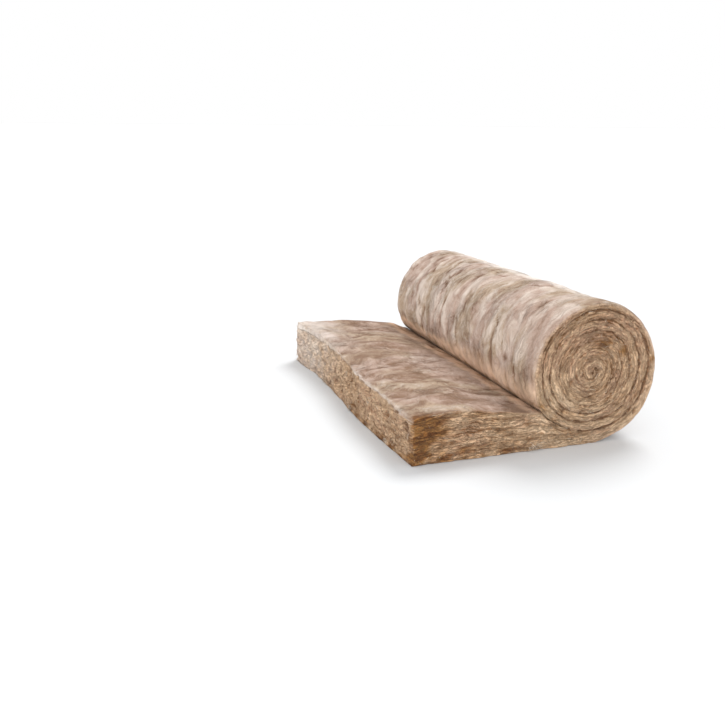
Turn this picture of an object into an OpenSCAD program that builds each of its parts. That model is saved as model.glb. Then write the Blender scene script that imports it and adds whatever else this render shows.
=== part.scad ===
// Roll of glass mineral wool blanket, part unrolled.
// The blanket is one piece: its lead end lies flat as a tail, runs in under the
// roll, and winds up into it, pressed much thinner, to the middle of the roll.
// Millimetres, +Z up, +Y along the roll. X runs from the cut end to the roll.
// The origin is on the floor, under the middle of the whole.

/* [Blanket] */
// Width of the blanket, which is also the length of the roll
blanket_w = 1200; // [380:10:1300]
// Thickness of the blanket where it lies free
blanket_t = 150; // [80:5:200]

/* [Roll] */
// Height of the rolled part above the floor
roll_h = 460; // [340:10:620]
// Thickness of the blanket where it is pressed under the roll
lap_t = 46; // [24:1:70]
// Thickness of one turn, pressed in the roll
turn_t = 30; // [20:1:45]

/* [Tail] */
// Flat length, from the cut end to the middle of the roll
tail_l = 610; // [400:10:1200]

/* [Joint between the turns] */
// Width of the joint's open mouth on the ends of the roll
joint_w = 6; // [2:0.5:10]
// Depth of the joint's open mouth
joint_d = 8; // [2:1:20]

/* [Hidden] */
$fn = 96;

wool = [0.72, 0.60, 0.49];

// The roll is built of half circles that meet on the upright line through its
// middle. The outermost lap is the right-hand one, and stands on the floor. The
// left-hand one carries on in under the roll, on top of that lap.
outer_r = roll_h / 2;
inner_r = (roll_h - lap_t) / 2;
half_turns = floor(2 * inner_r / turn_t);

whole_l = tail_l + outer_r;
cut_x = -whole_l / 2;
roll_x = cut_x + tail_l;

// Half circle i of the joint line: the even ones are the left-hand ones. Each
// is half a turn's thickness smaller, and starts where the one before it ends.
function joint_r(i) = inner_r - i * turn_t / 2;
function joint_z(i) = lap_t + inner_r - (i % 2) * turn_t / 2;

// Half of a disc about the origin: side is 1 for the right half, -1 for the left
module half_disc(r, side) {
    intersection() {
        circle(r);
        translate([side > 0 ? 0 : -r, -r]) square([r, 2 * r]);
    }
}

// The rolled part, seen on its end
module roll_section() {
    translate([roll_x, outer_r]) half_disc(outer_r, 1);
    translate([roll_x, lap_t + inner_r]) half_disc(inner_r, -1);
}

// The flat tail, seen on its edge, as far as the middle of the roll
module tail_section() {
    translate([cut_x, 0]) square([tail_l, blanket_t]);
}

// The joint between the turns, from the top face of the tail to the middle
module joint_section() {
    for (i = [0 : half_turns - 1])
        intersection() {
            translate([roll_x, joint_z(i)])
                difference() {
                    half_disc(joint_r(i) + joint_w / 2, i % 2 == 0 ? -1 : 1);
                    circle(joint_r(i) - joint_w / 2);
                }
            // the first one is joint only where the tail covers it
            translate([cut_x, 0])
                square([whole_l, i == 0 ? blanket_t : roll_h]);
        }
}

// Stands a section up and runs it along Y, from y to y + l
module along_y(y, l) {
    translate([0, y + l, 0]) rotate([90, 0, 0]) linear_extrude(l) children();
}

module blanket() {
    color(wool)
        difference() {
            along_y(-blanket_w / 2, blanket_w)
                union() {
                    roll_section();
                    tail_section();
                }
            along_y(-blanket_w / 2, joint_d) joint_section();
            along_y(blanket_w / 2 - joint_d, joint_d) joint_section();
        }
}

blanket();
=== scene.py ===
"""Roll of brown mineral wool blanket, part unrolled, in a plain studio."""

import math

import bpy
import numpy as np
from mathutils import Matrix, Vector
from mathutils.geometry import delaunay_2d_cdt


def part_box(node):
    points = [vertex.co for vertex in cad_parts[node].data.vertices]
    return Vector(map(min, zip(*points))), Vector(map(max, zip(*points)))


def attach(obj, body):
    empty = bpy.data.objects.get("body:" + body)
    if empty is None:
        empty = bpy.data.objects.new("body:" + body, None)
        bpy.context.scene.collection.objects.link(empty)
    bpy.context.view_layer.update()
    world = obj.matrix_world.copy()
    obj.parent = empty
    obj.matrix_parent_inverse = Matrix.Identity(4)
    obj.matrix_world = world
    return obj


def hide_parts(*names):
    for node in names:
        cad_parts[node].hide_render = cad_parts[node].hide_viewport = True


bl_info = {
    "name": "Insulation roll",
    "version": (1, 0, 0),
    "blender": (4, 5, 0),
    "location": "3D View > Sidebar > Wool",
    "description": "Makes a part unrolled mineral wool blanket and its studio",
    "category": "Add Mesh",
}

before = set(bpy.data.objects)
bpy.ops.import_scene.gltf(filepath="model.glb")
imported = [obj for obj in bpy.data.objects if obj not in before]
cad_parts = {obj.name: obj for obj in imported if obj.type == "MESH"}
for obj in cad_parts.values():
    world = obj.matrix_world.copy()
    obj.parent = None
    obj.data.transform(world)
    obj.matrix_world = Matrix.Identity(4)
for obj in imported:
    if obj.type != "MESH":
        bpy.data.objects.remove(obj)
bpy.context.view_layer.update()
LOW, HIGH = (np.array(corner, float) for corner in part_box("blanket"))

MM = 0.001
TAU = 2 * math.pi
WIDTH, MIDDLE = HIGH[1] - LOW[1], (HIGH[1] + LOW[1]) / 2

# The place of the roll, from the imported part: the roll is as high as the part,
# and reaches its far side in X. The spiral winds round a place in its upper half.
ROLL_HEIGHT = HIGH[2] - LOW[2]
DRAWN_HEIGHT = 0.46  # the height in metres that the numbers of the spiral are for
ROLL_X = HIGH[0] - ROLL_HEIGHT / 2
CENTRE = np.array([ROLL_X + 0.5 * MM, LOW[2] + 0.5315 * ROLL_HEIGHT])
TAIL = ROLL_X - LOW[0]

# Metres added to the first coordinate of the texture, so that the roll's skin
# doesn't repeat the tail's, and the cut end can be told from the two ends
ROLL_LAY, CUT_LAY = 0.8, 10.0


# ---------------------------------------------------------------- numbers


def unit(vectors):
    """The vectors, each made one long."""
    return vectors / np.linalg.norm(vectors, axis=1)[:, None]


def lengths(points):
    """The length of the line through the points, up to each of them."""
    step = np.linalg.norm(np.diff(points, axis=0), axis=1)
    return np.concatenate([[0], np.cumsum(step)])


def polar(x, z):
    """How far a place in the section is from the middle of the roll, and the share
    of a turn that it is round it, from straight below."""
    dx, dz = x - CENTRE[0], z - CENTRE[1]
    return np.hypot(dx, dz), (np.arctan2(dx, -dz) / TAU) % 1


class Noise:
    """Smooth seeded noise over points in space, from -1 to 1."""

    def __init__(self, seed):
        rng = np.random.default_rng(seed)
        self.order = np.tile(rng.permutation(256), 3)
        self.slopes = unit(rng.normal(size=(256, 3)))

    def __call__(self, *axes):
        p = np.stack(np.broadcast_arrays(*axes), -1).astype(float)
        shape = p.shape[:-1]
        p = p.reshape(-1, p.shape[-1])
        if p.shape[1] < 3:
            p = np.hstack([p, np.full((len(p), 3 - p.shape[1]), 0.37)])
        cell = np.floor(p).astype(int)
        f = p - cell
        cell %= 256
        ease = f * f * f * (f * (f * 6 - 15) + 10)
        total = np.zeros(len(p))
        for corner in np.ndindex(2, 2, 2):
            at = cell + corner
            pick = self.order[self.order[self.order[at[:, 0]] + at[:, 1] % 256] + at[:, 2] % 256]
            slope = (self.slopes[pick] * (f - corner)).sum(1)
            total += slope * np.prod(np.where(corner, ease, 1 - ease), axis=1)
        return (total * 1.6).clip(-1, 1).reshape(shape)

    def layers(self, *axes, count=2):
        """Several octaves of the noise, added up."""
        total, size, scale = 0.0, 1.0, 1.0
        for i in range(count):
            total = total + size * self(*[a * scale + 19.7 * i for a in axes])
            size, scale = size / 2, scale * 2.03
        return total

    def creases(self, *axes, count=2):
        """Sharp valleys: 0 away from them, down to -1 along them."""
        total, size, scale = 0.0, 1.0, 1.0
        for i in range(count):
            fold = np.abs(self(*[a * scale + 11.3 * i for a in axes]))
            total = total - size * np.exp(-fold / 0.12)
            size, scale = size / 2, scale * 2.1
        return total


def ease(x, low, high):
    """0 below low, 1 above high, and smooth between them."""
    t = np.clip((x - low) / (high - low), 0, 1)
    return t * t * (3 - 2 * t)


def fall(x, low, high):
    """1 below low, 0 above high, and smooth between them."""
    return 1 - ease(x, low, high)


def curve(points, x):
    """The smooth line through the points, read at x."""
    at, value = np.array(points, float).T
    slope = np.gradient(value, at)
    x = np.clip(x, at[0], at[-1])
    i = np.clip(np.searchsorted(at, x) - 1, 0, len(at) - 2)
    step = at[i + 1] - at[i]
    t = (x - at[i]) / step
    start = (1 + 2 * t) * (1 - t) ** 2 * value[i] + t * (1 - t) ** 2 * step * slope[i]
    return start + t * t * ((3 - 2 * t) * value[i + 1] - (1 - t) * step * slope[i + 1])


# ---------------------------------------------------------------- the section

# How far the outside of the blanket is from the middle of the roll, in mm, for the
# first three turns wound. The winding starts under the roll and goes right and up.
# The first turn is the outside of the roll, and bulges near the floor.
WOUND = (
    (0, 245), (0.12, 249), (0.25, 235), (0.35, 220), (0.5, 216), (0.6, 215), (0.73, 212),
    (0.82, 214), (0.85, 211), (0.9, 202), (1, 200), (1.13, 212), (1.25, 207), (1.4, 195),
    (1.7, 184), (1.9, 174), (2, 170), (2.1, 175), (2.3, 170), (2.5, 162), (2.75, 153), (3, 142),
)  # fmt: skip
TURN = 28.8  # mm from one turn to the next, past the first three
LAST = 7.62  # turns wound in all
ROUND = 1.33  # metres round the outside of the roll
FINE = 0.0015  # turns from one stored place of the spiral to the next
SOFT = 6  # how many of those places the spiral is smoothed over
THIN = 4 * MM  # the least thickness that a turn is taken to have
MOUTH = 0.845  # turns at the crease where the roll meets the tail
CREASE_END = 0.93  # turns at the bottom of that crease
TAIL_END = 429  # mm from the cut end to where the tail goes into the crease
CORNER = 7 * MM  # radius of the soft top corner of the cut end

# Height of the top of the tail, in mm, for each distance from the cut end. The last
# point lies past the crease, where the tail is hidden under the roll.
TAIL_TOP = (
    (0, 146), (40, 152), (120, 157), (200, 158), (300, 147), (400, 131), (430, 124), (560, 88),
)  # fmt: skip

# How far the cut end lies back from its plane, in mm, at its top and at its foot:
# every 100 mm across the blanket, from the near end to the far one
EDGE_TOP = (-1, -3, 5, 5, -6, 4, 12, 22, 26, 27, 23, 10, -8)
EDGE_FOOT = (7, 1, -3, -7, -9, -7, -2, 3, 6, 6, 7, -8, -9)

# Small tears and long creases of the roll's skin: turns wound and place across at
# the start and at the end (m), half width (mm), depth (mm)
TEARS = (
    (0.51, -0.05, 0.53, -0.02, 5.0, 4.5), (0.50, -0.01, 0.51, 0.01, 4.0, 4.0),
    (0.52, 0.01, 0.52, 0.03, 4.0, 4.0), (0.52, -0.30, 0.54, -0.26, 5.0, 4.5),
    (0.56, -0.14, 0.59, -0.12, 5.0, 3.0), (0.69, 0.00, 0.79, -0.02, 3.2, 6.5),
    (0.75, -0.47, 0.81, -0.48, 4.5, 6.0), (0.73, -0.40, 0.75, -0.40, 8.0, 3.0),
    (0.66, 0.20, 0.70, 0.18, 4.0, 4.0), (0.62, -0.23, 0.70, -0.32, 3.0, 3.5),
    (0.77, 0.15, 0.82, 0.12, 4.0, 4.5), (0.76, -0.20, 0.80, -0.24, 4.0, 4.0),
)  # fmt: skip


class Winding:
    """The spiral that the outside of the blanket follows."""

    def __init__(self, size):
        self.w = np.arange(0, LAST + 1.2, FINE)
        past = self.w - 3
        sway = np.exp(-np.maximum(past, 0) / 1.6)
        round_it = WOUND[-1][1] - TURN * past
        round_it = round_it + 3.2 * (np.cos(TAU * (self.w - 0.15)) + 0.3) * sway * ease(past, 0, 0.3)
        lift = ease(self.w, 1.6, 4.5)
        round_it = round_it - lift * (2.6 * np.sin(TAU * self.w) - 1.6 * np.cos(TAU * self.w))
        r = np.where(self.w < 3, curve(WOUND, self.w), round_it)
        r = r + ease(self.w, 1.05, 1.6) * 1.7 * Noise(5).layers(self.w * 3.1, count=3)
        kernel = np.exp(-0.5 * (np.arange(-3 * SOFT, 3 * SOFT + 1) / SOFT) ** 2)
        padded = np.pad(r, 3 * SOFT, mode="edge")
        r = np.convolve(padded, kernel / kernel.sum(), "valid")
        self.r = np.maximum(r, 1.5) * MM * size
        self.s = TAIL + lengths(self.place(self.w))

    def radius(self, w):
        return np.interp(w, self.w, self.r)

    def run(self, w):
        """The length of blanket from its cut end to w turns."""
        return np.interp(w, self.w, self.s)

    def place(self, w, radius=None):
        radius = self.radius(w) if radius is None else radius
        turn = TAU * np.asarray(w)
        return CENTRE + radius[:, None] * np.stack([np.sin(turn), -np.cos(turn)], 1)

    def spaced(self, start, end, step):
        """Turns from start to end whose places on the spiral are step apart."""
        low, high = self.run(start), self.run(end)
        count = max(2, int(round((high - low) / step)) + 1)
        return np.interp(np.linspace(low, high, count), self.s, self.w)

    def find(self, x, z):
        """Turns wound, share of the way through the blanket and its thickness, at
        places in the roll."""
        radius, w = polar(x, z)
        for _ in range(int(LAST) + 1):
            inner = self.radius(w + 1)
            w = np.where((radius < inner) & (w + 1 < LAST + 0.9), w + 1, w)
        outside, inside = self.radius(w), np.where(w + 1 > LAST + 1, 0, self.radius(w + 1))
        thick = np.maximum(outside - inside, THIN)
        return w, ((outside - radius) / thick).clip(0, 1), thick


def resampled(points, step):
    """The line again, with points about step apart."""
    run = lengths(points)
    at = np.linspace(0, run[-1], max(2, int(round(run[-1] / step)) + 1))
    return np.stack([np.interp(at, run, points[:, k]) for k in range(points.shape[1])], 1)


def tail_height(x):
    """Height of the top of the tail; past the crease, of the slope it would follow."""
    return LOW[2] + MM * curve(TAIL_TOP, (x - LOW[0]) / MM)


def corner_lift(x, y):
    """How much higher the tail is at the far end of its cut, in metres."""
    lift = 0.007 * fall(x - LOW[0], 0.05, 0.13) + 0.007 * fall(x - LOW[0], 0.02, 0.07)
    return lift * ease(y, -0.1, 0.5)


# The zones of the section, and how far apart their points are, in metres
BOTTOM, ROLL, CREASE, TOP, CUT = range(5)
STEP = {BOTTOM: 0.014, ROLL: 0.0068, CREASE: 0.0058, TOP: 0.0066}
JOINT_STEP, WOUND_STEP, TAIL_STEP = 0.0037, 0.0042, 0.0047  # the same in the two ends
CREASE_GAP = (0.3 * MM, 1.8 * MM)  # at the crease's bottom, and how much more at its top


class Section:
    """The blanket seen on its edge: the outline, as a closed loop, and the joint."""

    def __init__(self, winding):
        self.winding = winding
        # the joint, from the crease to under the middle of the roll
        self.under = winding.place(winding.spaced(MOUTH, 1.0, 0.002))
        pieces = []

        def add(zone, points, run, fade):
            more = (np.broadcast_to(column, len(points)) for column in (run, fade, zone))
            pieces.append(np.column_stack([points, *more]))

        # along the floor to under the roll
        x = np.arange(0, TAIL, STEP[BOTTOM])
        add(BOTTOM, np.column_stack([LOW[0] + x, np.full(len(x), LOW[2])]), x, 0.0)
        # up the right side, over, and down the left side to the crease
        w = winding.spaced(0, MOUTH, STEP[ROLL])
        fade = 1 - 0.75 * ease(w, MOUTH - 0.035, MOUTH)
        add(ROLL, winding.place(w)[:-1], winding.run(w)[:-1], fade[:-1])
        # into the crease, and back out of it on the top of the tail
        w = winding.spaced(MOUTH, CREASE_END, STEP[CREASE])
        deep = (w - MOUTH) / (CREASE_END - MOUTH)
        gap = CREASE_GAP[0] + CREASE_GAP[1] * (1 - deep) ** 1.5
        add(CREASE, winding.place(w), winding.run(w), 0.25 * (1 - deep))
        self.crease_at = sum(len(p) for p in pieces) - 1
        back = winding.place(w, winding.radius(w) + gap)[::-1][1:]
        flat = LOW[0] + np.arange(TAIL_END, 12, -13) * MM
        flat = np.column_stack([flat, tail_height(flat)])
        add(CREASE, back, back[:, 0] - LOW[0], 0.25 * (1 - deep[::-1][1:]))
        corner = np.array([LOW[0] + CORNER, tail_height(LOW[0]) - CORNER])
        turn = np.radians(np.arange(0, 95, 18))
        arc = corner + CORNER * np.column_stack([-np.sin(turn), np.cos(turn)])
        flat = resampled(np.vstack([back[-1], flat, arc[0]]), STEP[TOP])
        top = np.vstack([flat[1:], arc[1:4]])
        fade = 0.3 + 0.7 * ease(back[-1, 0] - top[:, 0], 0, 0.05)
        add(TOP, top, top[:, 0] - LOW[0], fade)
        # down the cut end
        z = np.linspace(arc[-1, 1], LOW[2], 32)[1:-1]
        cut = np.vstack([arc[4:], np.column_stack([np.full(len(z), LOW[0]), z])])
        add(CUT, cut, 0.0, 1.0)
        loop = np.vstack(pieces)
        self.points, self.run, self.fade = loop[:, :2], loop[:, 2], loop[:, 3]
        self.zone = loop[:, 4].astype(int)
        ahead = unit(np.roll(self.points, -1, 0) - np.roll(self.points, 1, 0))
        self.normal = np.column_stack([ahead[:, 1], -ahead[:, 0]])

    def tail_top(self, x):
        """Height above the floor of the tail, or of the joint over it, left of the
        middle of the roll."""
        over = np.interp(x, self.under[:, 0], self.under[:, 1])
        return np.where(x < self.under[0, 0], tail_height(x), over) - LOW[2]

    def lap(self, x, z):
        """For places in the section: run along the blanket, share of the way
        through it, its thickness, turns wound, and whether they are in the tail."""
        w, share, thick = self.winding.find(x, z)
        top = LOW[2] + self.tail_top(x)
        tail = (x < CENTRE[0]) & (z < top)
        run = np.where(tail, x - LOW[0], self.winding.run(w))
        share = np.where(tail, (z - LOW[2]) / (top - LOW[2]), share)
        thick = np.where(tail, top - LOW[2], thick)
        return run, share.clip(0, 1), thick, np.where(tail, 0, w), tail


# ---------------------------------------------------------------- relief


def skin_relief(run, y, rolled):
    """How far the felted skin stands out, in metres: long soft wrinkles that run
    along the blanket, some sharp creases, and small lumps. The roll is smoother
    near its near end."""
    calm = 1 - 0.75 * rolled * fall(y, -0.56, -0.38)
    warp, folds, lumps = Noise(11), Noise(12), Noise(13)
    drift = 0.05 * warp.layers(run / 0.33, y / 0.30)
    y2 = y + drift * (0.45 + 0.75 * rolled) + 0.012 * warp(run / 0.07 + 7, y / 0.07)
    x2 = run + 0.03 * warp(run / 0.2 + 31, y / 0.2)
    y2 = y2 * (0.64 + 0.36 * rolled)
    broad = 4.0 * folds.layers(x2 / 0.34, y2 / 0.15)
    wrinkles = 3.4 * folds.layers(x2 / 0.15 + 5, y2 / 0.052)
    patches = ease(folds(x2 / 0.16 + 50, y2 / 0.10), -0.2, 0.4)
    creases = 4.6 * folds.creases(x2 / 0.20 + 9, y2 / 0.075) * (0.25 + 0.75 * patches)
    dimpled = rolled * ease(y, -0.15, 0.30)
    small = 2.6 * lumps.layers(x2 / 0.060, y2 / 0.028) * (0.45 + 0.55 * patches)
    small = small + 2.6 * dimpled * lumps.layers(x2 / 0.046 + 70, y2 / 0.040)
    return MM * (broad + 0.9 + calm * (wrinkles + creases + small))


def tear_relief(turns, y):
    """How deep the tears of the roll's skin are, in metres."""
    frayed = Noise(15)
    side = 0.007 * frayed.layers(turns / 0.016, y / 0.022)
    total = 0.0
    for w1, y1, w2, y2, half, depth in TEARS:
        # measured in metres round the roll and across it
        ax, ay = (turns - w1) * ROUND, y + side - y1
        bx, by = (w2 - w1) * ROUND, y2 - y1
        along = ((ax * bx + ay * by) / (bx * bx + by * by)).clip(0, 1)
        away = np.hypot(ax - along * bx, ay - along * by) / (half * MM)
        narrow = 1 - 0.6 * np.abs(2 * along - 1) ** 2
        rim = 0.22 * depth * np.exp(-(((away - 2.2) / 0.9) ** 2))
        total = total + depth * np.exp(-((away / narrow) ** 2)) - rim
    return MM * total


def cut_relief(along, across, seed):
    """How far a torn cut face stands out, in metres: layers, clumps and pits."""
    grain, lump = Noise(seed), Noise(seed + 1)
    bend = across + 0.006 * lump(along / 0.09, across / 0.05)
    layers = 1.9 * grain.layers(along / 0.085, bend / 0.0115)
    clumps = 2.4 * lump.layers(along / 0.04 + 3, bend / 0.02, count=3)
    pits = -3.6 * ease(lump(along / 0.024 + 40, bend / 0.0105), 0.3, 0.65)
    return MM * (layers + clumps + pits)


def torn_relief(y, z):
    """Larger clumps and gouges of the cut end, in metres."""
    torn = Noise(48)
    clumps = 4.5 * torn.layers(y / 0.065, z / 0.042)
    gouges = -6.0 * ease(torn(y / 0.05 + 20, z / 0.026), 0.25, 0.65)
    return MM * (clumps + gouges)


def edge_bend(x, z, y):
    """How far the cut end is shifted along the blanket, in metres."""
    high, low = (np.interp(y / 0.1, np.arange(-6, 7), line) for line in (EDGE_TOP, EDGE_FOOT))
    up = ease(z - LOW[2], 0.01, 0.14)
    slip = low + (high - low) * up + 2.5 * Noise(46).layers(y / 0.05, z / 0.045)
    return MM * slip * fall(x - LOW[0], 0, 0.16)


def sunken(x, top, y):
    """Height over the floor of the tail's top, which at its far end sinks towards
    the roll and rises towards the cut; top is its height before that."""
    far = ease(y, LOW[1] + 0.30 * WIDTH, LOW[1] + WIDTH)
    sink = 0.011 * far * ease(x - LOW[0], 0.335, 0.43)
    lift = corner_lift(x, y)
    return np.minimum(top + lift, tail_height(x) - LOW[2] - sink + lift)


def leaned(x, z, y):
    """The roll runs a little to one side, and is a little slimmer, at its far end."""
    along = (y - LOW[1]) / WIDTH * ease(x, ROLL_X - 0.36, ROLL_X - 0.22)
    x = x + along * (0.028 - 0.065 * (x - ROLL_X))
    return x, LOW[2] + (z - LOW[2]) * (1 - 0.055 * along)


# ---------------------------------------------------------------- the mesh


def rows_across():
    """Places across the blanket, closer together near its two edges."""
    edge = np.array([0, 1.6, 4, 7.5, 12.2]) * MM
    inner = WIDTH / 2 - 18 * MM
    between = np.linspace(-inner, inner, int(round(2 * inner / 0.00665)) + 1)
    return MIDDLE + np.concatenate([edge - WIDTH / 2, between, (WIDTH / 2 - edge)[::-1]])


def blurred(field, reach):
    """A grid blurred by a box; its first way is a loop."""
    for axis, mode in ((0, "wrap"), (1, "edge")):
        pad = [(0, 0), (0, 0)]
        pad[axis] = (reach + 1, reach)
        total = np.cumsum(np.pad(field, pad, mode=mode), axis=axis)
        n, span = field.shape[axis], 2 * reach + 1
        ahead = np.take(total, range(span, span + n), axis=axis)
        behind = np.take(total, range(0, n), axis=axis)
        field = (ahead - behind) / span
    return field


def nearest(points, others):
    """For each point, the index of the nearest of others, and how far it is."""
    index, far = np.zeros(len(points), int), np.zeros(len(points))
    for start in range(0, len(points), 2000):
        block = slice(start, start + 2000)
        away = ((points[block, None] - others[None]) ** 2).sum(2)
        index[block], far[block] = away.argmin(1), np.sqrt(away.min(1))
    return index, far


def inside(points, loop):
    """Whether each point is inside a closed loop."""
    x, z = points[:, :1], points[:, 1:]
    a, b = loop, np.roll(loop, -1, 0)
    crosses = (a[None, :, 1] > z) != (b[None, :, 1] > z)
    rise = np.where(b[:, 1] == a[:, 1], 1e-12, b[:, 1] - a[:, 1])
    at = a[:, 0] + (z - a[:, 1]) * (b[:, 0] - a[:, 0]) / rise
    return (crosses & (x < at)).sum(1) % 2 == 1


APART = 2.3 * MM  # least distance of the points that fill an end from one another
HOLD = 16 * MM  # how far into an end its points follow its outline
SETTLE = 17 * MM  # how far across the skin it follows the ends' depth


def thinned(points, apart):
    """The points, at most one for each square of that size."""
    cells = np.round(points / apart).astype(int)
    _, first = np.unique(cells, axis=0, return_index=True)
    return points[np.sort(first)]


def end_layout(section, ring):
    """The face of an end, flat: its points, with the outline first and then the
    joint, and its triangles."""
    winding = section.winding
    joint = winding.place(winding.spaced(CREASE_END, LAST, JOINT_STEP)[1:])
    rows = []
    for k, share in enumerate((0.1, 0.225, 0.36, 0.5, 0.64, 0.775, 0.9)):
        w = winding.spaced(0, LAST - 0.75, WOUND_STEP)
        w = (w[:-1] + w[1:]) / 2 if k % 2 else w
        outer, inner = winding.radius(w), winding.radius(w + 1)
        rows.append(winding.place(w, outer - share * (outer - inner)))
    wound = np.vstack(rows)
    wound = wound[~section.lap(*wound.T)[4]]
    along = np.arange(LOW[0], CENTRE[0] + TAIL_STEP, TAIL_STEP)
    gx, gz = np.meshgrid(along, np.arange(LOW[2], LOW[2] + 0.16, TAIL_STEP * 0.87))
    gx[1::2] += TAIL_STEP / 2
    flat = np.column_stack([gx.ravel(), gz.ravel()])
    flat = flat + np.random.default_rng(3).normal(size=flat.shape) * 0.3 * MM
    flat = flat[section.lap(*flat.T)[4]]
    fill = thinned(np.vstack([wound, flat]), APART)
    edge = np.vstack([ring, joint])
    fill = fill[inside(fill, ring) & (nearest(fill, edge)[1] > APART)]
    points = np.vstack([edge, fill])
    n, chain = len(ring), [section.crease_at, *range(len(ring), len(edge))]
    lines = [(i, (i + 1) % n) for i in range(n)] + list(zip(chain[:-1], chain[1:]))
    found, _, faces, came, _, _ = delaunay_2d_cdt(points.tolist(), lines, [], 1, 1e-7)
    if len(found) != len(points):
        raise RuntimeError("the outline of the roll's end crosses itself")
    back = np.array([c[0] for c in came])
    faces = back[np.array(faces)]
    (ax, az), (bx, bz), (cx, cz) = points[faces].transpose(1, 2, 0)
    turn = (bx - ax) * (cz - az) - (bz - az) * (cx - ax)
    faces[turn < 0] = faces[turn < 0][:, ::-1]
    return points, faces[np.abs(turn) > 1e-12]


def end_depth(section, points, seed):
    """How deep each point of an end lies, in metres, and how much of that depth is painted as shade:
    the joints between the turns, uneven turns, layers, clumps, pits."""
    x, z = points.T
    run, share, thick, w, tail = section.lap(x, z)
    uneven = Noise(seed)
    near_joint = np.minimum(np.where(w < 1, 1.0, share), 1 - share) * thick
    near_joint = np.where(tail, (1 - share) * thick, near_joint)
    # the top of the tail is free as far as the crease, so it has no joint there
    near_joint = np.where(tail & (x < LOW[0] + 0.415), 1.0, near_joint)
    mouth = (4.2 + 6.5 * uneven.layers(run / 0.055, w * 0.31)).clip(0.4, 10)
    mouth = mouth * (1.5 - 1.05 * ease(w, 1.3, 3.2))
    reach = (2.3 + 1.1 * uneven(run / 0.08 + 60, w * 0.5)) * MM
    groove = mouth * np.exp(-((near_joint / reach) ** 1.4))
    crown = np.where(tail, 0.0, 2.6 * np.abs(2 * share - 1) ** 3.0)
    turn = np.where(tail, 0.0, 3.6 * uneven(w * 1.9 + 4, 0.5 * np.ones_like(w)))
    turn = turn * ease(w, 0.05, 0.5)
    swirl = uneven.layers(run / 0.10 + 90, w * 1.7 + share * 1.7)
    turn = turn + np.where(tail, 0.0, 2.6 * swirl * ease(w, 1.0, 2.4))
    broad = 3.0 * uneven.layers(x / 0.2, z / 0.15)
    across = share * np.where(tail, thick, np.maximum(thick, 30 * MM))
    relief = cut_relief(run, across + seed * 0.1, seed + 3) / MM
    depth = groove + crown + turn + broad * 0.6 - relief + 1.5
    # painted shade: the joints and pits are darkened by how deep they lie
    hollow_shade = groove * 1.3 + np.maximum(-relief, 0) * 0.8
    return MM * depth, MM * hollow_shade


def tints(points):
    """How stained or shaded (up to 1), or how light (down to -1), the wool is at each point: real
    stains, painted shade by the crease, paler areas, and a painted highlight on the roll's top
    ridge.
    """
    from_roll_x, _, from_roll_z = (points - (CENTRE[0], 0, CENTRE[1])).T
    x, y, z = (points - LOW).T
    blot = Noise(91).layers(x / 0.05, y / 0.05, z / 0.03, count=3)
    near = fall(y, 0.0, 0.05)
    wedge = fall(x + 1.2 * np.abs(z - 0.098), 0.04, 0.19)
    corner = near * wedge * (1.3 + 0.7 * blot) * (0.35 + 0.65 * ease(x, 0.004, 0.018))
    low = near * fall(z, 0.01, 0.065) * fall(x, 0.25, 0.5) * (0.5 + 0.7 * blot)
    low = low + near * fall(x, 0.3, 0.5) * ease(z, 0.11, 0.15) * (0.3 + 0.4 * blot)
    foot = fall(x, 0.0, 0.03) * fall(z, 0.0, 0.05) * fall(y, 0.5, 0.9) * (0.45 + 0.9 * blot)
    low = low + foot.clip(0, 1)
    # a stain and painted shade beside the crease, where the tail meets the roll
    nip_stain_and_shade = fall(np.hypot(points[:, 0] - 0.02, z - 0.13), 0.004, 0.045) * (0.3 + 0.5 * blot)
    spots = 0.0
    for at_x, at_z, reach in ((0.222, 0.335, 0.034), (0.298, 0.302, 0.022), (0.415, 0.262, 0.020)):
        away = np.hypot(points[:, 0] - at_x, z - at_z)
        spot = fall(y, 0.0, 0.02) * fall(away, 0.2 * reach, 1.6 * reach)
        spots = spots + spot * (0.6 + 0.6 * blot)
    pale_and_highlight = 0.68 * ease(y, 0.5, 1.15) * fall(x, 0.02, 0.25) * (1 + 0.5 * blot)
    pale_and_highlight = pale_and_highlight + 0.4 * fall(np.hypot(x, z - 0.145), 0.004, 0.017) * (1 + blot)
    # painted highlight along the roll's top ridge, where the key light falls
    past = np.arctan2(from_roll_x, from_roll_z)
    crest_highlight = ease(np.hypot(from_roll_x, from_roll_z), 0.19, 0.205)
    crest_highlight = crest_highlight * ease(past, 0.02, 0.22) * fall(past, 0.5, 1.1)
    pale_and_highlight = pale_and_highlight + 0.85 * crest_highlight * ease(y, 0.02, 0.12) * (1 + 0.4 * blot)
    return (sum(part.clip(0, 1) for part in (corner, low, nip_stain_and_shade, spots)) - pale_and_highlight).clip(-1, 1)


def painted_warm_light(points):
    """How much orange-brown painted light the wool gets at each point: light thrown back beside the
    crease, and lighter wool in the outermost lap and in part of the tail's near side."""
    x, y, z = points[:, 0], points[:, 1], points[:, 2] - LOW[2]
    away = np.hypot((x - 0.015) * 0.8, z - 0.125)
    away = away + 0.012 * Noise(93).layers(x / 0.06, y / 0.03, z / 0.06)
    out = np.hypot(x - CENTRE[0], points[:, 2] - CENTRE[1])
    reach = 0.19 - 0.11 * ease(y, -0.25, 0.3)
    # orange-brown painted light thrown back beside the crease
    roll = fall(away, 0.015, reach) * ease(z, 0.12, 0.135) * fall(out, 0.218, 0.232)
    crease = np.maximum(roll, 0.9 * fall(away, 0.01, 0.08))
    lap = ease(out, 0.20, 0.23) * ease(x, -0.06, 0.06) * 0.8
    right = ease(x - LOW[0], 0.2, 0.36) * fall(z, 0.11, 0.15) * 0.35
    near = fall(y - LOW[1], 0.0, 0.03)
    return np.maximum(crease, near * np.maximum(lap, right))


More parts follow.
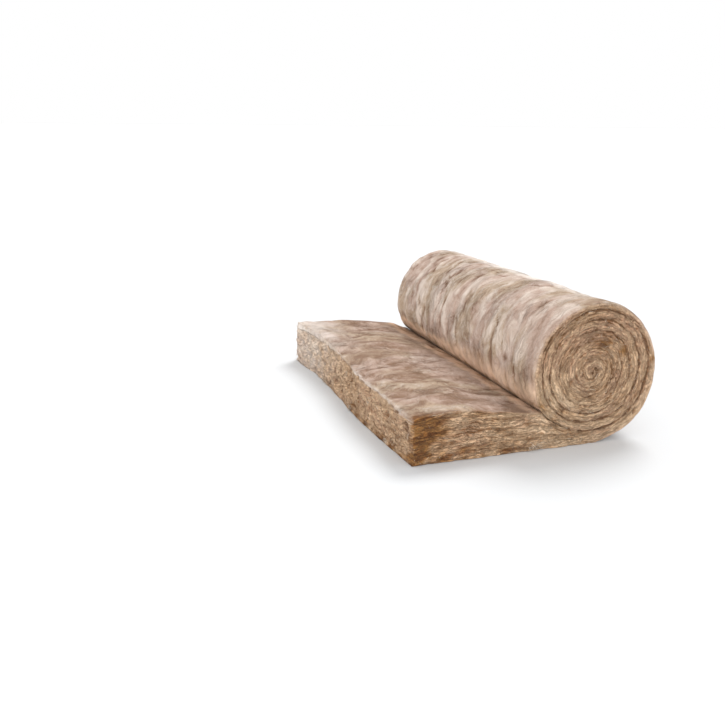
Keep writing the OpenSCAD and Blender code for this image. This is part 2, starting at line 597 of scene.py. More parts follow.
def made_mesh(name, points, face_groups, uv, attributes):
    """A mesh from groups of faces that have equally many corners. Each attribute is
    (kind, POINT or CORNER, values)."""
    mesh = bpy.data.meshes.new(name)
    sizes = np.concatenate([np.full(len(faces), faces.shape[1]) for faces in face_groups])
    corners = np.concatenate([faces.ravel() for faces in face_groups])
    mesh.vertices.add(len(points))
    mesh.vertices.foreach_set("co", points.astype(np.float32).ravel())
    mesh.loops.add(len(corners))
    mesh.loops.foreach_set("vertex_index", corners.astype(np.int32))
    mesh.polygons.add(len(sizes))
    starts = np.concatenate([[0], np.cumsum(sizes)[:-1]])
    mesh.polygons.foreach_set("loop_start", starts.astype(np.int32))
    mesh.polygons.foreach_set("loop_total", sizes.astype(np.int32))
    mesh.polygons.foreach_set("use_smooth", np.ones(len(sizes), bool))
    mesh.update(calc_edges=True)
    for key, (kind, domain, values) in attributes.items():
        made = mesh.attributes.new(key, kind, domain)
        field = "vector" if kind == "FLOAT_VECTOR" else "value"
        made.data.foreach_set(field, values.astype(np.float32).ravel())
    mesh.uv_layers.new(name="OFBake").uv.foreach_set("vector", uv.astype(np.float32).ravel())
    if mesh.validate():
        raise RuntimeError(name + " has bad faces")
    return mesh


class Skin:
    """The blanket's skin, as a grid of points round the section and across."""

    def __init__(self, section, settings):
        self.section, winding = section, section.winding
        rows = rows_across()
        self.count, self.rows = len(section.points), len(rows)
        self.x, self.z = (np.repeat(section.points[:, k : k + 1], self.rows, 1) for k in (0, 1))
        self.y = np.repeat(rows[None], self.count, 0)
        self.to_edge = WIDTH / 2 - np.abs(self.y - MIDDLE)
        self.zone = section.zone[:, None]
        self.turns = np.interp(section.run, winding.s, winding.w)[:, None]
        self.stand = self.relief(settings.wrinkles)
        self.rounding = self.drawn_in(settings.edge_radius)
        self.upright = self.places()

    def relief(self, wrinkles):
        """How far the skin and the cut end stand out along the section's normal."""
        x, y, z, zone = self.x, self.y, self.z, self.zone
        rolled = ((zone == ROLL) | (zone == CREASE)) * 1.0
        run = np.repeat(self.section.run[:, None], self.rows, 1)
        skin = skin_relief(run + ROLL_LAY * rolled, y, rolled) * wrinkles
        skin = skin - (zone == ROLL) * tear_relief(self.turns, y)
        torn = 1.2 * cut_relief(y + 3.3, z, 41) + torn_relief(y, z)
        stand = np.where(zone == CUT, torn, skin * self.section.fade[:, None])
        stand = np.where(zone == ROLL, stand * ease(z - LOW[2], 0.0, 0.05), stand)
        ragged = (zone == TOP) * fall(x - LOW[0], 0.004, 0.016)
        return stand + ragged * 0.6 * MM * Noise(44).layers(y / 0.012, x / 0.01)

    def drawn_in(self, rim):
        """How far the skin is drawn in along its two sides, so that they are round."""
        zone, turns = self.zone, self.turns
        on_roll = (0.3 + 1.5 * ease(turns, 0.0, 0.09)) * fall(turns, MOUTH - 0.05, MOUTH - 0.005)
        soft = np.select([zone == CREASE, zone == BOTTOM, zone == ROLL], [0.0, 0.3, on_roll], 0.6)
        inward = np.clip(1 - self.to_edge / (rim * np.maximum(soft, 1)), 0, 1)
        return rim * (1 - np.sqrt(1 - inward**2)) * soft

    def places(self):
        """Places of the points in the section, before the roll leans."""
        x, z, section = self.x, self.z, self.section
        push = section.normal[:, None] * (self.stand - self.rounding)[..., None]
        place = np.stack([x, z], -1) + push
        above = (self.zone == CREASE) & (np.arange(self.count)[:, None] > section.crease_at)
        level = sunken(x, z - LOW[2], self.y) + LOW[2]
        place[..., 1] += np.where((self.zone == TOP) | above, level - z, 0)
        place[..., 0] += edge_bend(x, z, self.y - MIDDLE)
        place[..., 1] = np.maximum(place[..., 1], LOW[2])
        return place

    def points(self, depths):
        """The points. The first rows follow the depth of the end that they meet."""
        x, z = leaned(self.upright[..., 0], self.upright[..., 1], self.y)
        near, far = (depth[: self.count, None] for depth in depths)
        moved_in = np.where(self.y < MIDDLE, near, -far) * fall(self.to_edge, 0, SETTLE)
        return np.stack([x, self.y + moved_in, z], -1).reshape(-1, 3)

    def hollow_shades(self):
        """How deep in a recess each point lies, in metres, which sets its painted shade; the crease
        and its edges lie deep, and the far top of the roll is given some painted shade too.
        """
        zone, turns = self.zone, self.turns
        mouth = self.section.winding.place(np.array([MOUTH]))[0]
        to_mouth = np.hypot(self.x - mouth[0], (self.z - mouth[1]) * 0.8)
        # painted shade beside the mouth of the crease
        lip_shade = 1.5 * MM * fall(to_mouth, 0.0, 0.04) * ((zone == TOP) | (zone == ROLL))
        # painted shade on the far top of the roll
        far_top_shade = (zone == ROLL) * np.exp(-(((turns - 0.555) / 0.06) ** 2))
        far_top_shade = far_top_shade * ease(self.y - MIDDLE, -0.1, 0.25)
        # painted shade in the low spots of the relief; the crease itself is painted as fully shaded
        low = (blurred(self.stand, 4) - self.stand) * np.where(zone == CUT, 0.85, 1.1)
        return np.where(zone == CREASE, 2.6 * MM, low + 1.4 * MM * far_top_shade + lip_shade).reshape(-1)

    def faces(self):
        """The faces, and for each corner where in the blanket it lies, how much it
        is a cut face, and its UV, in the lower part of the map."""
        section = self.section
        i, j = np.meshgrid(np.arange(self.count), np.arange(self.rows - 1), indexing="ij")
        i, j = i.ravel(), j.ravel()
        along = np.column_stack([i, i, i + 1, i + 1])
        around, across = along % self.count, np.column_stack([j, j + 1, j + 1, j])
        x, z, y = section.points[around, 0], section.points[around, 1], self.y[0][across]
        zone = section.zone[around]
        is_cut = (zone == CUT).any(1)[:, None]
        lay_skin = np.stack([section.run[around] + ROLL_LAY * (zone == ROLL), y, 0 * y], -1)
        lay_cut = np.stack([y + CUT_LAY, z - LOW[2], x], -1)
        cut_side = fall(WIDTH / 2 - np.abs(y - MIDDLE), 0, 6 * MM) * 0.6
        cut_top = (zone == TOP) * fall(x - LOW[0], 0, 9 * MM) * 0.35
        cut_face = 0.35 + 0.65 * ease(tail_height(LOW[0]) - z, 4 * MM, 16 * MM)
        run = lengths(np.vstack([section.points, section.points[:1]]))
        u, v = run[along] / run[-1] * 0.99 + 0.005, (y - LOW[1]) / WIDTH * 0.63 + 0.005
        return (
            around * self.rows + across,
            np.where(is_cut[..., None], lay_cut, lay_skin),
            np.where(is_cut, cut_face, np.maximum(cut_side, cut_top)),
            np.stack([u, v], -1),
        )


def end_shape(skin, flat, row, seed):
    """For the points of an end: their places in the section, how deep they lie, and
    how hollow. The outline moves as the skin does, and the rest follows it."""
    section, (x, z) = skin.section, flat.T
    ring, y = flat[: skin.count], skin.y[0, row] + 0 * x
    closest, gap = nearest(flat, ring)
    hold = np.clip(1 - gap / HOLD, 0, 1) ** 2
    free = 1 - hold
    follow = (skin.upright[:, row] - ring)[closest] * hold[:, None]
    top = np.maximum(section.tail_top(x), 1e-4)
    sink = (sunken(x, top, y) / top - 1) * (z - LOW[2]) * free
    follow[:, 1] += np.where(section.lap(x, z)[4], sink, 0)
    follow[:, 0] += free * edge_bend(x, z, y - MIDDLE)
    wave, stir = Noise(seed + 9), 2.4 * MM * free * (np.arange(len(flat)) >= skin.count)
    waves = [wave.layers(x / 0.028 + shift, z / 0.028) for shift in (0, 9)]
    at = flat + follow + stir[:, None] * np.column_stack(waves)
    at = leaned(at[:, 0], np.maximum(at[:, 1], LOW[2]), y)
    return np.column_stack(at), *end_depth(section, flat, seed)


def end_corners(section, flat, faces, side):
    """What the corners of an end's faces say: where in the blanket they lie, how
    much they are a cut face, and their UV, in the left or right upper part."""
    corner = flat[faces]
    _, _, _, mid_w, mid_tail = section.lap(*corner.mean(1).T)
    run, through = lay_of_corners(section, corner, mid_w, mid_tail)
    lay = np.stack([run, through, np.full_like(run, 3.0 * side + 0.5)], -1)
    u = (corner[..., 0] - LOW[0] + 0.02) / (HIGH[0] - LOW[0] + 0.04) * 0.47 + 0.01 + 0.5 * side
    v = (corner[..., 1] - LOW[2]) / ROLL_HEIGHT * 0.33 + 0.655
    return lay, np.ones(faces.shape), np.stack([u, v], -1)


def build_blanket(settings):
    """The whole blanket as one closed mesh: its skin all round, and its two ends."""
    section = Section(Winding(ROLL_HEIGHT / DRAWN_HEIGHT))
    skin = Skin(section, settings)
    count, rows = skin.count, skin.rows
    flat, faces = end_layout(section, section.points - section.normal * skin.rounding[:, :1])
    ends = [end_shape(skin, flat, row, seed) for row, seed in ((0, 61), (rows - 1, 71))]
    points, hollow_shade = [skin.points([depth for _, depth, _ in ends])], [skin.hollow_shades()]
    groups = [skin.faces()]
    for side, (at, depth, low) in enumerate(ends):
        row, inward = ((0, 1), (rows - 1, -1))[side]
        first = sum(len(p) for p in points)
        index = np.append(np.arange(count) * rows + row, first + np.arange(len(flat) - count))
        y = skin.y[0, row] + inward * depth
        points.append(np.column_stack([at[:, 0], y, at[:, 1]])[count:])
        # how much painted shade each point of the end gets
        hollow_shade.append(low[count:])
        group = (index[faces], *end_corners(section, flat, faces, side))
        groups.append([part[:, ::-1] for part in group] if side else group)
    points = np.vstack(points)
    lay, cut, uv = (np.concatenate([g[k].ravel() for g in groups]) for k in (1, 2, 3))
    attributes = {
        "lay": ("FLOAT_VECTOR", "CORNER", lay),
        "cut": ("FLOAT", "CORNER", cut),
        "hollow_shade": ("FLOAT", "POINT", np.concatenate(hollow_shade)),
        "tint": ("FLOAT", "POINT", tints(points)),
        "warm_light": ("FLOAT", "POINT", painted_warm_light(points)),
    }
    return made_mesh("blanket", points, [g[0] for g in groups], uv, attributes)


def lay_of_corners(section, corner, mid_w, mid_tail):
    """For the corners of an end's faces: the run along the blanket, and the way
    through it in metres, both counted in the turn that the face's middle is in."""
    winding, (x, z) = section.winding, (corner[..., 0], corner[..., 1])
    radius, part = polar(x, z)
    w = part + np.round(mid_w[:, None] - part)
    outer, inner = winding.radius(w), winding.radius(w + 1)
    share = ((outer - radius) / np.maximum(outer - inner, THIN)).clip(0, 1)
    through = share * (np.maximum(outer - inner, 24 * MM) * 1.5)
    flat_share = ((z - LOW[2]) / np.maximum(section.tail_top(x), 1e-4)).clip(0, 1)
    full = np.where(x < LOW[0] + 0.3, 150.0, 150 - 80 * ease(x - LOW[0], 0.3, TAIL)) * MM
    in_tail = mid_tail[:, None]
    run = np.where(in_tail, x - LOW[0], winding.run(w))
    return run, np.where(in_tail, flat_share * full, through)


# ---------------------------------------------------------------- loose fibres

# Small tufts of loose fibre: place (m from the lowest corner), reach (mm), fibres
TUFTS = (
    (0.415, 0.0, 0.012, 15, 34), (0.434, 0.0, 0.020, 8, 12), (0.0, 1.19, 0.012, 20, 30),
    (0.0, 1.19, 0.145, 14, 22), (0.0, 0.85, 0.006, 16, 20), (0.0, 0.52, 0.006, 18, 20),
    (0.0, 0.20, 0.006, 16, 18), (0.0, 0.62, 0.110, 16, 16), (0.0, 0.36, 0.090, 14, 16),
    (0.45, 1.2, 0.012, 15, 20), (0.02, 1.2, 0.012, 12, 14),
)  # fmt: skip
RINGS, SIDES = 6, 3
FAR_OFF = 10.0  # metres added to the distance of points that no fibre may start from
STRAY = 14 * MM  # how far a fibre may reach outside the part's box


def fibre_roots(places, normals, count, rng):
    """Indices of the points of the blanket's surface that loose fibres start from,
    and whether each belongs to a tuft."""
    torn = (places[:, 0] < LOW[0] + 0.03) & (normals[:, 0] < -0.3)
    ends = (np.abs(places[:, 1]) > HIGH[1] - 0.02) & (np.abs(normals[:, 1]) > 0.3)
    above = places[:, 2] > LOW[2] + 0.002
    share = 0.4 * torn / max(torn.sum(), 1) + 0.6 * ends / max(ends.sum(), 1)
    edge = np.minimum(places[:, 2] - LOW[2], LOW[2] + 0.15 - places[:, 2])
    share = share * above * (1 + 2.5 * torn * fall(edge, 0.002, 0.02))
    picked = [rng.choice(len(places), count, replace=False, p=share / share.sum())]
    for x, y, z, reach, many in TUFTS:
        away = np.linalg.norm(places - LOW - (x, y, z), axis=1)
        near = np.argsort(away + FAR_OFF * ~(above & (torn | ends)))[: 8 * many]
        near = near[away[near] < max(reach * MM, np.sort(away[near])[many])]
        picked.append(rng.choice(near, min(many, len(near)), replace=False))
    roots = np.concatenate(picked)
    return roots, (np.arange(len(roots)) >= count)[:, None]


def build_fibres(settings, blanket):
    """Loose fibres that stand out of the torn faces: thin closed tubes, joined."""

    def read(key):
        values = np.empty(len(blanket.vertices) * 3)
        blanket.vertices.foreach_get(key, values)
        return values.reshape(-1, 3)

    places, normals = read("co"), read("normal")
    rng = np.random.default_rng(17)
    roots, tuft = fibre_roots(places, normals, settings.count, rng)
    start, normal, n = places[roots], normals[roots], len(roots)

    # fibres follow the layers of the ends, and stand any way on the cut end
    out = start[:, [0, 2]] - CENTRE
    layer = unit(np.column_stack([-out[:, 1], np.zeros(n), out[:, 0]]))
    layer[start[:, 0] < LOW[0] + 0.42] = (1, 0, 0)
    layer[normal[:, 0] < -0.5] = (0, 0.35, 1)
    along = layer * rng.choice([-1, 1], (n, 1))
    along = along + rng.normal(size=(n, 3)) * np.where(tuft, 0.9, 0.4)
    along = unit(along - normal * (along * normal).sum(1)[:, None])
    lift = rng.uniform(0.05, 0.5, (n, 1)) + tuft * rng.uniform(0, 0.5, (n, 1))
    ahead = unit(along + normal * lift)
    length = settings.length * rng.uniform(0.45, 1.6, (n, 1)) * np.where(tuft, 0.9, 1)
    bend = rng.normal(size=(n, 3)) * np.where(tuft, 0.55, 0.25) - normal * 0.12
    curl = rng.normal(size=(n, 3)) * np.where(tuft, 0.22, 0.07)
    radius = settings.thickness / 2 * rng.uniform(0.6, 1.4, (n, 1)) * np.where(tuft, 1.25, 1)

    t = np.linspace(0, 1, RINGS)[:, None, None]
    bent = ahead * t + bend * t**2 + curl * np.sin(2.2 * math.pi * t)
    path = start - normal * 1.2 * MM + length * bent
    side = unit(np.cross(ahead, normal + 0.1))
    other = np.cross(ahead, side)
    thin = radius * (1 - 0.7 * t**2)
    turns = [TAU * k / SIDES for k in range(SIDES)]
    tubes = [path + thin * (math.cos(turn) * side + math.sin(turn) * other) for turn in turns]
    points = np.stack(tubes, 2).transpose(1, 0, 2, 3).reshape(-1, 3)
    points[:, 2] = np.maximum(points[:, 2], LOW[2])
    points = np.clip(points, LOW - STRAY, HIGH + STRAY)

    # the faces of one fibre, and then of all
    ring = np.arange(RINGS * SIDES).reshape(RINGS, SIDES)
    following = np.roll(ring, -1, 1)
    walls = np.stack([ring[:-1], following[:-1], following[1:], ring[1:]], -1).reshape(-1, 4)
    first = np.arange(n)[:, None, None] * RINGS * SIDES
    quads = (first + walls).reshape(-1, 4)
    caps = (first + np.array([ring[0, ::-1], ring[-1]])).reshape(-1, 3)
    shade = rng.uniform(0, 1, (n, 1)) * (1 - 0.5 * tuft) + 0.5 * tuft
    shades = {"shade": ("FLOAT", "POINT", np.repeat(shade, RINGS * SIDES))}
    # each fibre has its own square of the UV map
    corner = np.append(quads, caps)
    cells = math.ceil(math.sqrt(n))
    which, at = corner // (RINGS * SIDES), corner % (RINGS * SIDES)
    u = (which % cells + 0.1 + 0.8 * (at // SIDES) / (RINGS - 1)) / cells
    v = (which // cells + 0.1 + 0.4 * (at % SIDES)) / cells
    return made_mesh("loose_fibres", points, [quads, caps], np.stack([u, v], 1), shades)


# ---------------------------------------------------------------- shader maths


def maths(operation, reflected=False):
    """A method that adds the Math node of that operation."""

    def method(self, other):
        values = (other, self) if reflected else (self, other)
        return self.shader.node("ShaderNodeMath", {"operation": operation}, dict(enumerate(values)))

    return method


class Value:
    """A shader socket. Arithmetic on it adds the Math nodes that work it out."""

    def __init__(self, shader, socket):
        self.shader, self.socket = shader, socket

    __add__, __radd__ = maths("ADD"), maths("ADD", True)
    __sub__, __rsub__ = maths("SUBTRACT"), maths("SUBTRACT", True)
    __mul__, __rmul__ = maths("MULTIPLY"), maths("MULTIPLY", True)

    def __abs__(self):
        return self.shader.node("ShaderNodeMath", {"operation": "ABSOLUTE"}, {0: self})

    def over(self, low, high):
        """0 below low, 1 above high, and smooth between them."""
        inputs = {"Value": self, "From Min": low, "From Max": high}
        return self.shader.node("ShaderNodeMapRange", {"interpolation_type": "SMOOTHSTEP"}, inputs)

    def lines(self, width):
        """1 along thin lines where a noise passes its middle, and 0 away from them."""
        return 1 - abs(self - 0.5).over(0, width)


class Shader:
    """A material's nodes."""

    def __init__(self, name):
        self.material = bpy.data.materials.new(name)
        self.material.use_nodes = True
        self.tree = self.material.node_tree
        self.tree.nodes.clear()

    def node(self, kind, settings=None, inputs=None, out=0):
        made = self.tree.nodes.new(kind)
        for key, value in (settings or {}).items():
            setattr(made, key, value)
        for key, value in (inputs or {}).items():
            if isinstance(value, Value):
                self.tree.links.new(value.socket, made.inputs[key])
            elif made.inputs[key].type == "RGBA":
                made.inputs[key].default_value = (*value[:3], 1.0)
            else:
                made.inputs[key].default_value = value
        return Value(self, made.outputs[out]) if made.outputs else None

    def attribute(self, name, out):
        return self.node("ShaderNodeAttribute", {"attribute_name": name}, out=out)

    def scaled(self, vector, *by):
        return self.node("ShaderNodeVectorMath", {"operation": "MULTIPLY"}, {0: vector, 1: by})

    def moved(self, vector, other):
        return self.node("ShaderNodeVectorMath", {"operation": "ADD"}, {0: vector, 1: other})

    def noise(self, vector, scale, detail=3.0, roughness=0.55, twist=0.0, colour=False):
        """Noise of so many features a metre along each of the vector's ways."""
        inputs = {"Vector": self.scaled(vector, *scale), "Scale": 1.0, "Detail": detail}
        inputs |= {"Roughness": roughness, "Distortion": twist}
        return self.node("ShaderNodeTexNoise", {}, inputs, out=1 if colour else 0)

    def mix(self, factor, first, second, blend="MIX"):
        settings = {"data_type": "RGBA", "blend_type": blend, "clamp_factor": True}
        return self.node("ShaderNodeMix", settings, {0: factor, 6: first, 7: second}, out=2)

    def tones(self, value, steps, dark, middle, light):
        """Dark, middle and light, mixed by a value that passes two steps."""
        lower, upper = (value.over(*step) for step in steps)
        return self.mix(upper, self.mix(lower, dark, middle), light)

    def swayed(self, vector, lay, scale, reach):
        """The vector, moved to and fro by noise over the blanket."""
        sway = self.moved(self.noise(lay, scale, 3.0, colour=True), (-0.5, -0.5, -0.5))
        return self.moved(vector, self.scaled(sway, *reach))

    def covered(self, inputs):
        """The material, with a surface of these inputs."""
        surface = self.node("ShaderNodeBsdfPrincipled", {}, inputs)
        self.node("ShaderNodeOutputMaterial", {}, {0: surface})
        return self.material


def wool_material(settings):
    """Felted skin and torn cut faces of brown mineral wool, in one material."""
    sh = Shader("mineral_wool")
    lay, cut = sh.attribute("lay", 1), sh.attribute("cut", 2)
    hollow_shade, tint, warm_light = (sh.attribute(name, 2) for name in ("hollow_shade", "tint", "warm_light"))

    # painted shade: creases, joints, pits and low spots are darkened by how deep they lie, in mm
    hollow_shade_mm = hollow_shade * 1000  # in mm

    # the skin: soft light and tan areas, streaks that wander along the blanket,
    # patches of small wrinkles, and a few long creases
    run, through = (sh.node("ShaderNodeSeparateXYZ", {}, {0: lay}, out=k) for k in (0, 1))
    flat = 1 - run.over(0.40, 0.75)
    wide = sh.mix(flat, lay, sh.scaled(lay, 0.9, 0.62, 1))
    skin_at = sh.swayed(wide, lay, (5.0, 5.5, 1), (0.10, 0.15, 0))
    broad = sh.noise(skin_at, (6, 12, 1), 4.0, 0.6, twist=0.4)
    rosy = sh.noise(skin_at, (5, 8, 4), 2.0, 0.5)
    streaks = sh.noise(skin_at, (8, 21, 1), 4.0, 0.5, twist=0.9)
    clouds = sh.noise(skin_at, (20, 28, 1), 3.0, 0.55, twist=1.0)
    fine = sh.noise(skin_at, (95, 150, 1), 4.0, 0.75, twist=0.8)
    crinkled = sh.noise(lay, (5.5, 6.5, 1), 2.0).over(0.48, 0.60)
    crinkles = sh.noise(skin_at, (34, 70, 2), 4.0, 0.68, twist=1.0)
    hairs = sh.noise(skin_at, (20, 75, 1), 3.0, 0.6).lines(0.04)
    folds = sh.noise(skin_at, (3.5, 15, 1), 3.0, 0.5).lines(0.028)
    folds = folds * broad.over(0.46, 0.60)
    # the last term is painted shade in the low spots
    tone = 0.5 + (broad - 0.5) * 0.50 + (streaks - 0.5) * 0.24 + (fine - 0.5) * 0.26 - hollow_shade_mm * 0.026
    tone = tone + (clouds - 0.5) * 0.20 + (crinkles - 0.5) * crinkled * 0.5 - crinkled * 0.02
    # the last term is painted shade: a darker band on the roll beside the crease
    tone = tone + 0.018 - flat * 0.11 - warm_light * (1 - warm_light) * (1 - flat) * 0.32
    middle = sh.mix(rosy.over(0.42, 0.58), settings.skin_tan, settings.skin_rosy)
    steps = ((0.31, 0.48), (0.44, 0.66))
    skin = sh.tones(tone, steps, settings.skin_dark, middle, settings.skin_light)
    skin = sh.mix(hairs * streaks.over(0.45, 0.6) * 0.25, skin, settings.skin_light)
    # painted shade along the long creases
    skin = sh.mix(folds * 0.22, skin, settings.skin_dark)

    # the cut faces: layers of fibre, clumps, and dark gaps painted as shade between them
    cut_at = sh.swayed(lay, lay, (18, 34, 1), (0.034, 0.017, 0))
    layers = sh.noise(cut_at, (13, 100, 1), 4.0, 0.66)
    clumps = sh.noise(cut_at, (40, 62, 1), 4.0, 0.7, twist=0.8)
    flecks = sh.noise(cut_at, (85, 150, 1), 3.0, 0.65, twist=0.8)
    strands = sh.noise(cut_at, (40, 170, 1), 3.0).lines(0.045)
    gaps = sh.noise(cut_at, (15, 95, 1), 3.0).lines(0.030)
    pits = sh.noise(cut_at, (30, 70, 1), 3.0, 0.6, twist=1.0).over(0.60, 0.68)
    strata = sh.noise(cut_at, (7, 210, 1), 3.0, 0.6)
    blots = sh.noise(cut_at, (9, 24, 1), 3.0, 0.55)
    grain = 0.495 + (layers - 0.5) * (flat * 0.36 + 0.42) + (flecks - 0.5) * (0.36 - flat * 0.12)
    grain = grain + (strata - 0.5) * flat * 0.3 + (blots - 0.5) * 0.3
    tufts = run.over(CUT_LAY - 2.0, CUT_LAY - 1.0)
    grain = grain + (clumps - 0.5) * (0.52 - flat * 0.28 + tufts * 0.1) + tufts * 0.024
    middle = sh.mix(rosy.over(0.42, 0.58), settings.wool_middle, settings.wool_rosy)
    steps = ((0.37, 0.46), (0.48, 0.58))
    wool = sh.tones(grain, steps, settings.wool_dark, middle, settings.wool_light)
    wool = sh.mix(strands * 0.5, wool, settings.wool_light)
    # painted shade in the gaps and pits
    wool = sh.mix(gaps * clumps.over(0.40, 0.58) * (0.5 - tufts * 0.25), wool, settings.wool_dark)
    wool = sh.mix(pits * 0.6, wool, settings.wool_dark)
    # the cut end has a smoother, lighter band under the skin, and small holes below it, painted dark
    # as shade
    upper = through.over(0.095, 0.13) * tufts
    holes = sh.noise(cut_at, (75, 82, 1), 2.0).over(0.58, 0.65) * blots.over(0.42, 0.54)
    holes = holes * tufts * (1 - upper)
    wool = sh.mix(upper * 0.3, wool, settings.wool_light)
    wool = sh.mix(holes * 0.75, wool, settings.wool_dark)
    # orange-brown painted light on the cut faces beside the crease and in the outermost lap
    wool = sh.mix(warm_light * 0.5, wool, settings.wool_light, blend="SCREEN")
    # painted shade in the joints, pits and low spots of the cut faces
    wool = sh.mix(hollow_shade_mm.over(0.5, 5.0) * 0.7, wool, settings.hollow_shade)

    edge = (cut + (fine - 0.5) * 0.9 * (1 - cut)).over(0.25, 0.75)
    # orange-brown painted light thrown back beside the crease
    skin = sh.mix(warm_light.over(0.4, 1) * (0.7 + (streaks - 0.5) * 1.5), skin, settings.skin_warm_light)
    # painted shade in the creases and low spots of the skin
    skin = sh.mix(hollow_shade_mm.over(1.1, 5.0) * 0.55, skin, settings.hollow_shade)
    colour = sh.mix(edge, skin, wool)
    # rust and gold stains; they also paint the shade beside the crease
    rust = sh.mix(layers.over(0.38, 0.66), settings.rust, settings.gold)
    colour = sh.mix(tint.over(0, 0.85) * 0.95, colour, rust)
    # paler areas, and the painted highlight on the roll's top ridge
    colour = sh.mix((0 - tint).over(0, 1), colour, settings.pale_and_highlight, blend="SCREEN")

    rough = layers * 0.5 + clumps * 0.5 + flecks * 0.3 + strands * 0.35
    rough = rough - gaps * (0.3 - tufts * 0.15) - pits * 0.3 - holes * 0.5
    small = streaks * 1.0 + clouds * 0.7 + fine * 0.35 + hairs * 0.1 - folds * 0.3
    small = small + crinkles * crinkled * 1.7
    height = edge * rough + (1 - edge) * small
    bump = sh.node("ShaderNodeBump", {}, {"Strength": 1.0, "Distance": 0.009, "Height": height})
    sheen = {"Sheen Weight": 0.06, "Sheen Roughness": 0.6, "Sheen Tint": (1.0, 0.93, 0.86)}
    plain = {"Roughness": 0.9, "Specular IOR Level": 0.08}
    return sh.covered({"Base Color": colour, "Normal": bump} | plain | sheen)


def fibre_material(settings):
    """Loose mineral wool fibres, each of its own shade."""
    sh = Shader("loose_fibre")
    along = sh.noise(sh.node("ShaderNodeTexCoord", out=3), (1, 1, 1), 2.0)
    tone = sh.attribute("shade", 2) + (along - 0.5) * 0.5
    colour = sh.mix(tone.over(0, 1), settings.dark, settings.light)
    return sh.covered({"Base Color": colour, "Roughness": 0.75, "Specular IOR Level": 0.15})


# ---------------------------------------------------------------- add-on


def colour_property(name, description, default):
    return bpy.props.FloatVectorProperty(
        name=name, description=description, default=default, subtype="COLOR", size=3, min=0, max=1
    )


def length_property(name, description, default):
    return bpy.props.FloatProperty(
        name=name, description=description, default=default, unit="LENGTH", subtype="DISTANCE"
    )


def strength_property(name, description, default, most=10.0):
    return bpy.props.FloatProperty(
        name=name, description=description, default=default, min=0, max=most
    )


class BlanketSettings(bpy.types.PropertyGroup):
    wrinkles: strength_property("Wrinkles", "How strongly the skin is wrinkled", 1.0, most=2)
    edge_radius: length_property("Edge rounding", "Radius of the soft edge of each end", 0.007)
    skin_light: colour_property("Skin, light", "Raised streaks of the skin", (0.65, 0.55, 0.475))
    skin_rosy: colour_property("Skin, rosy", "The skin in some areas", (0.435, 0.312, 0.252))
    skin_tan: colour_property("Skin, tan", "The skin in other areas", (0.40, 0.293, 0.208))
    skin_dark: colour_property("Skin, dark", "Low streaks of the skin", (0.235, 0.142, 0.092))
    # the colour of the orange-brown painted light beside the crease
    skin_warm_light: colour_property("Skin, warm", "The skin beside the crease", (0.76, 0.52, 0.355))
    wool_light: colour_property("Wool, light", "Raised fibres of a cut face", (0.635, 0.43, 0.27))
    wool_middle: colour_property("Wool", "A cut face", (0.395, 0.24, 0.135))
    wool_rosy: colour_property("Wool, rosy", "A cut face in some areas", (0.42, 0.25, 0.155))
    wool_dark: colour_property("Wool, dark", "Low fibres of a cut face", (0.165, 0.072, 0.024))
    # the colour of the painted shade in creases, pits and joints
    hollow_shade: colour_property("Hollows", "Creases, pits and joints", (0.13, 0.052, 0.016))
    # lightens the paler areas and the painted highlight
    pale_and_highlight: colour_property("Pale areas", "How much the palest are lightened", (0.40, 0.375, 0.35))
    rust: colour_property("Rust stain", "The dark stain at one corner", (0.125, 0.042, 0.010))
    gold: colour_property("Gold stain", "The light stain at one corner", (0.35, 0.165, 0.046))


class FibreSettings(bpy.types.PropertyGroup):
    count: bpy.props.IntProperty(
        name="Fibres", description="How many single loose fibres there are", default=1500, min=1
    )
    length: length_property("Length", "Mean length of a loose fibre", 0.013)
    thickness: length_property("Thickness", "Mean thickness of a fibre where it starts", 0.0009)
    light: colour_property("Light", "The lightest fibres", (0.74, 0.64, 0.52))
    dark: colour_property("Dark", "The darkest fibres", (0.36, 0.21, 0.11))


class StageSettings(bpy.types.PropertyGroup):
    floor_colour: colour_property("Floor", "The studio floor", (0.672, 0.682, 0.692))
    sky: strength_property("Sky light", "Strength of the even light", 1.0)
    key: strength_property("Key light", "Strength of the light from above", 1.95)
    fill: strength_property("Fill light", "Strength of the light from the front", 3.1)


def placed(name, data):
    """A new object in the scene."""
    obj = bpy.data.objects.new(name, data)
    bpy.context.scene.collection.objects.link(obj)
    return obj


def wear(obj, material):
    """Gives a piece its material and its place in the part, and hides the imported blanket."""
    obj.data.materials.clear()
    obj.data.materials.append(material)
    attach(obj, "root")
    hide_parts("blanket")


class WOOL_OT_blanket(bpy.types.Operator):
    """Make the blanket: its tail, its roll and their torn ends, in one mesh"""

    bl_idname = "wool.blanket"
    bl_label = "Blanket"

    def execute(self, context):
        settings = context.scene.blanket_settings
        blanket = placed("wool_blanket", build_blanket(settings))
        wear(blanket, wool_material(settings))
        return {"FINISHED"}


class WOOL_OT_fibres(bpy.types.Operator):
    """Make the loose fibres that stand out of the blanket's torn ends and cut end"""

    bl_idname = "wool.fibres"
    bl_label = "Loose fibres"

    def execute(self, context):
        settings = context.scene.fibre_settings
        blanket = bpy.data.objects.get("wool_blanket")
        if blanket is None:
            raise RuntimeError("the blanket is made before its loose fibres")
        fibres = placed("loose_fibres", build_fibres(settings, blanket.data))
        wear(fibres, fibre_material(settings))
        return {"FINISHED"}


def broad_light(name, towards, power, spread):
    """An even light from far away; towards points from the scene to the light."""
    light = bpy.data.lights.new(name, "SUN")
    light.energy, light.angle = power, math.radians(spread)
    placed(name, light).rotation_euler = Vector(towards).to_track_quat("Z", "Y").to_euler()


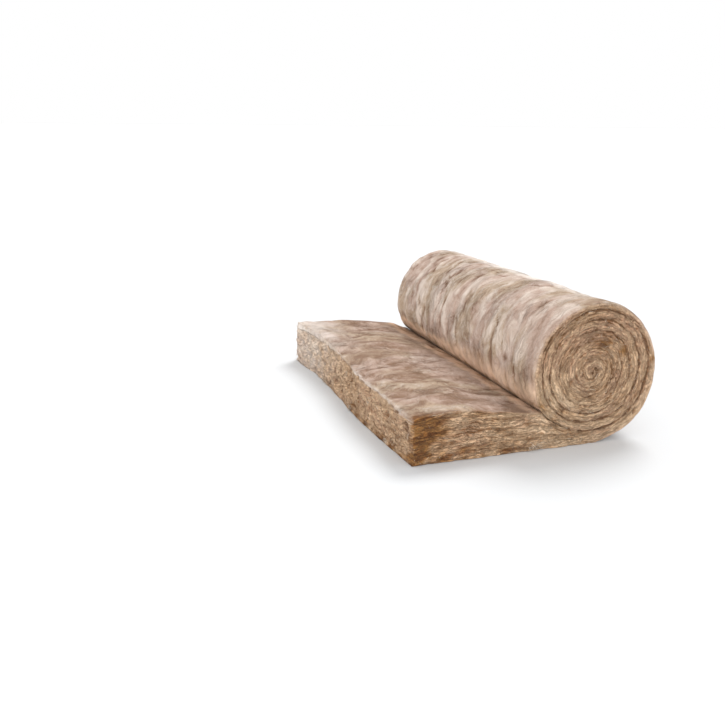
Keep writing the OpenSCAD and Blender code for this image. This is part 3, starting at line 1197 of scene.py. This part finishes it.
class WOOL_OT_stage(bpy.types.Operator):
    """Make the studio: a plain pale floor, soft light and the camera"""

    bl_idname = "wool.stage"
    bl_label = "Studio"

    def execute(self, context):
        scene, settings = context.scene, context.scene.stage_settings
        mesh = bpy.data.meshes.new("floor")
        far, level = 40.0, LOW[2] - 0.5 * MM
        ground = [(-far, -far, level), (far, -far, level), (far, far, level), (-far, far, level)]
        mesh.from_pydata(ground, [], [(0, 1, 2, 3)])
        floor = placed("floor", mesh)
        paint = {"Base Color": settings.floor_colour, "Roughness": 0.9, "Specular IOR Level": 0.1}
        mesh.materials.append(Shader("floor_paint").covered(paint))

        world = bpy.data.worlds.new("studio")
        world.use_nodes = True
        back = world.node_tree.nodes["Background"]
        back.inputs["Color"].default_value = (1, 1, 1, 1)
        back.inputs["Strength"].default_value = settings.sky
        scene.world = world
        scene.view_settings.view_transform = "Standard"

        broad_light("key", (0.46, 0.42, 0.79), settings.key, 28)
        broad_light("fill", (-0.58, -0.80, 0.03), settings.fill, 42)

        data = bpy.data.cameras.new("camera")
        data.sensor_width, data.lens = 36.0, 43.2
        data.clip_end = 200
        scene.camera = placed("camera", data)
        scene.camera.location = CAMERA_PLACE
        scene.camera.rotation_euler = CAMERA_TURN.to_euler()
        return {"FINISHED"}


CAMERA_PLACE = (LOW[0] - 0.9645, LOW[1] - 2.1806, LOW[2] + 1.0221)
CAMERA_TURN = (
    Matrix.Rotation(math.radians(-20.31), 3, "Z")
    @ Matrix.Rotation(math.radians(90 - 16.42), 3, "X")
    @ Matrix.Rotation(math.radians(0.98), 3, "Z")
)


class WOOL_PT_panel(bpy.types.Panel):
    """Lists what makes the blanket and its studio"""

    bl_label = "Insulation roll"
    bl_idname = "WOOL_PT_panel"
    bl_space_type = "VIEW_3D"
    bl_region_type = "UI"
    bl_category = "Wool"

    def draw(self, context):
        for made, key in zip(OPERATORS, SETTINGS):
            box, settings = self.layout.box(), getattr(context.scene, key)
            box.label(text=made.bl_label)
            for field in settings.bl_rna.properties.keys():
                if field not in ("rna_type", "name"):
                    box.prop(settings, field)
            box.operator(made.bl_idname)


OPERATORS = (WOOL_OT_stage, WOOL_OT_blanket, WOOL_OT_fibres)
SETTINGS = {
    "stage_settings": StageSettings,
    "blanket_settings": BlanketSettings,
    "fibre_settings": FibreSettings,
}
CLASSES = (*SETTINGS.values(), *OPERATORS, WOOL_PT_panel)


def register():
    for made in CLASSES:
        bpy.utils.register_class(made)
    for key, made in SETTINGS.items():
        setattr(bpy.types.Scene, key, bpy.props.PointerProperty(type=made))


def unregister():
    for key in SETTINGS:
        delattr(bpy.types.Scene, key)
    for made in reversed(CLASSES):
        bpy.utils.unregister_class(made)


def main():
    register()
    bpy.ops.wool.stage()
    bpy.ops.wool.blanket()
    bpy.ops.wool.fibres()


if __name__ == "__main__":
    main()
